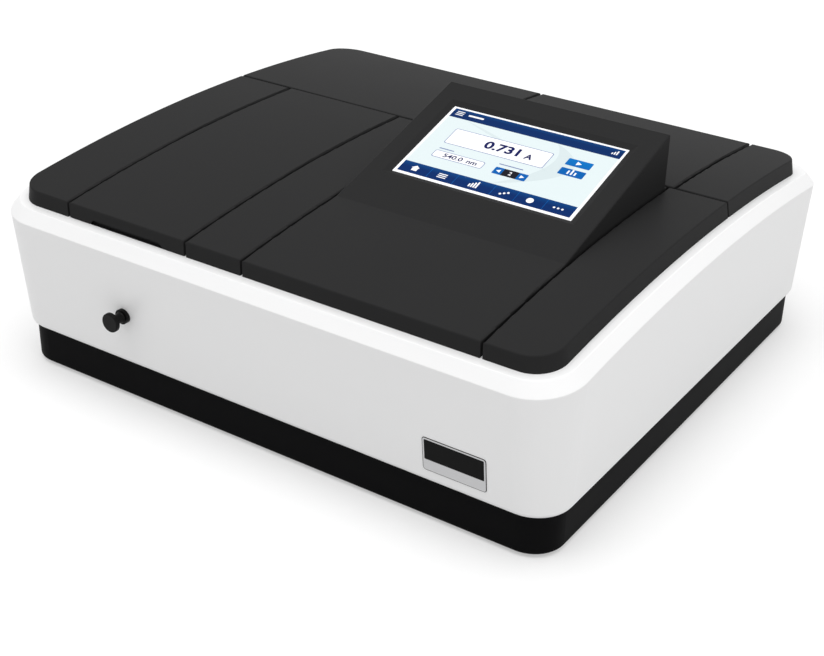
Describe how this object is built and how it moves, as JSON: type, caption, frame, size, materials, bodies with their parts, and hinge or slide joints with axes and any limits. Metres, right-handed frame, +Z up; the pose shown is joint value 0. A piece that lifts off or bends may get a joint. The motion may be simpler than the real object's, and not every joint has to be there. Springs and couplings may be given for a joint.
{
  "type": "double-beam spectrophotometer",
  "caption": "Bench-top double-beam spectrophotometer with an arched cover set, a hinged sample lid, a sloped touch screen and a pull-rod cell changer.",
  "frame": {"origin": "bench top, under the middle of the bounding box", "axes": "+Z up, -Y out of the front, where the pull-rod knob is, +X to the right as seen from the front"},
  "size_m": [0.59, 0.5542, 0.2475],
  "materials": {
    "white_shell": "satin moulded plastic, off-white",
    "black_tray": "matt black moulded tray",
    "charcoal_cover": "fine-grained charcoal plastic",
    "black_plastic": "black plastic",
    "rubber": "soft rubber",
    "screen_glass": "clear touch glass over the panel",
    "panel_metal": "grey painted steel",
    "cast_aluminium": "cast and machined aluminium",
    "steel": "plated steel",
    "brass": "machined brass",
    "circuit": "green circuit board",
    "optical_glass": "polished quartz",
    "mirror": "front-coated mirror"
  },
  "bodies": {
    "case": {"base_tray": "black_tray", "beam_splitter": "optical_glass", "bench_motors": "steel", "carriage_rail": "black_plastic", "circuit_boards": "circuit", "compartment_tub": "black_plastic", "compartment_windows": "optical_glass", "cover_frame": "steel", "detectors": "black_plastic", "deuterium_lamp": "optical_glass", "display_board": "circuit", "display_frame": "black_plastic", "fan_frame": "black_plastic", "fan_guard": "steel", "feet": "rubber", "filter_motor": "steel", "fixed_mirrors": "mirror", "grating_bearing": "brass", "hinge_bracket": "steel", "hinge_pins": "steel", "lamp_house": "panel_metal", "lamp_sockets": "black_plastic", "lcd_module": "steel", "left_cover": "charcoal_cover", "lid_seal": "rubber", "main_shell": "white_shell", "mains_inlet": "black_plastic", "mid_cover": "charcoal_cover", "mirror_stands": "cast_aluminium", "mono_cover": "panel_metal", "mono_housing": "panel_metal", "optical_bench": "cast_aluminium", "power_supply": "steel", "rear_center_cover": "charcoal_cover", "rear_left_cover": "charcoal_cover", "rear_panel": "panel_metal", "rear_ports": "black_plastic", "rear_right_cover": "charcoal_cover", "reference_holder": "cast_aluminium", "right_cover": "charcoal_cover", "rod_bushing": "black_plastic", "screen_cover": "charcoal_cover", "screws": "steel", "slit_plates": "steel", "switch_frame": "black_plastic", "touch_glass": "screen_glass", "tungsten_lamp": "optical_glass"},
    "lid": {"sample_lid": "charcoal_cover"},
    "carriage": {"cell_carriage": "cast_aluminium", "pull_rod": "steel", "rod_knob": "black_plastic"},
    "source_turner": {"source_mirror": "mirror"},
    "filter_disc": {"filter_wheel": "cast_aluminium", "filter_glasses": "optical_glass"},
    "grating_turner": {"grating_table": "steel", "sector_gear": "brass", "diffraction_grating": "mirror"},
    "pinion": {"drive_pinion": "brass"},
    "fan_wheel": {"fan_rotor": "black_plastic"},
    "rocker": {"power_rocker": "black_plastic"}
  },
  "joints": [
    {"name": "lid_hinge", "type": "hinge", "parent": "case", "child": "lid", "pos_m": [-0.1425, 0.05868, 0.18898], "axis": [-1, 0, 0], "range_deg": [0, 85]},
    {"name": "rod_slide", "type": "slide", "parent": "case", "child": "carriage", "axis": [0, -1, 0], "range_m": [0, 0.066]},
    {"name": "mirror_swing", "type": "hinge", "parent": "case", "child": "source_turner", "pos_m": [-0.15, 0.13788, 0.101], "axis": [0, 0, 1], "range_deg": [-15, 0]},
    {"name": "filter_spin", "type": "hinge", "parent": "case", "child": "filter_disc", "pos_m": [-0.038, 0.13788, 0.123], "axis": [1, 0, 0], "continuous": true},
    {"name": "grating_turn", "type": "hinge", "parent": "case", "child": "grating_turner", "pos_m": [0.02, 0.06788, 0.101], "axis": [0, 0, 1], "range_deg": [0, 35]},
    {"name": "pinion_spin", "type": "hinge", "parent": "case", "child": "pinion", "pos_m": [0.02, 0.11288, 0.066], "axis": [0, 0, 1], "range_deg": [-176, 1]},
    {"name": "fan_spin", "type": "hinge", "parent": "case", "child": "fan_wheel", "pos_m": [-0.15, 0.2549, 0.10094], "axis": [0, 0.9969, -0.0784], "continuous": true},
    {"name": "rocker_tilt", "type": "hinge", "parent": "case", "child": "rocker", "pos_m": [0.146, 0.26836, 0.09988], "axis": [1, 0, 0], "range_deg": [0, 14]}
  ],
  "couplings": [
    {"joint": "pinion_spin", "follows": "grating_turn", "ratio": -5}
  ]
}
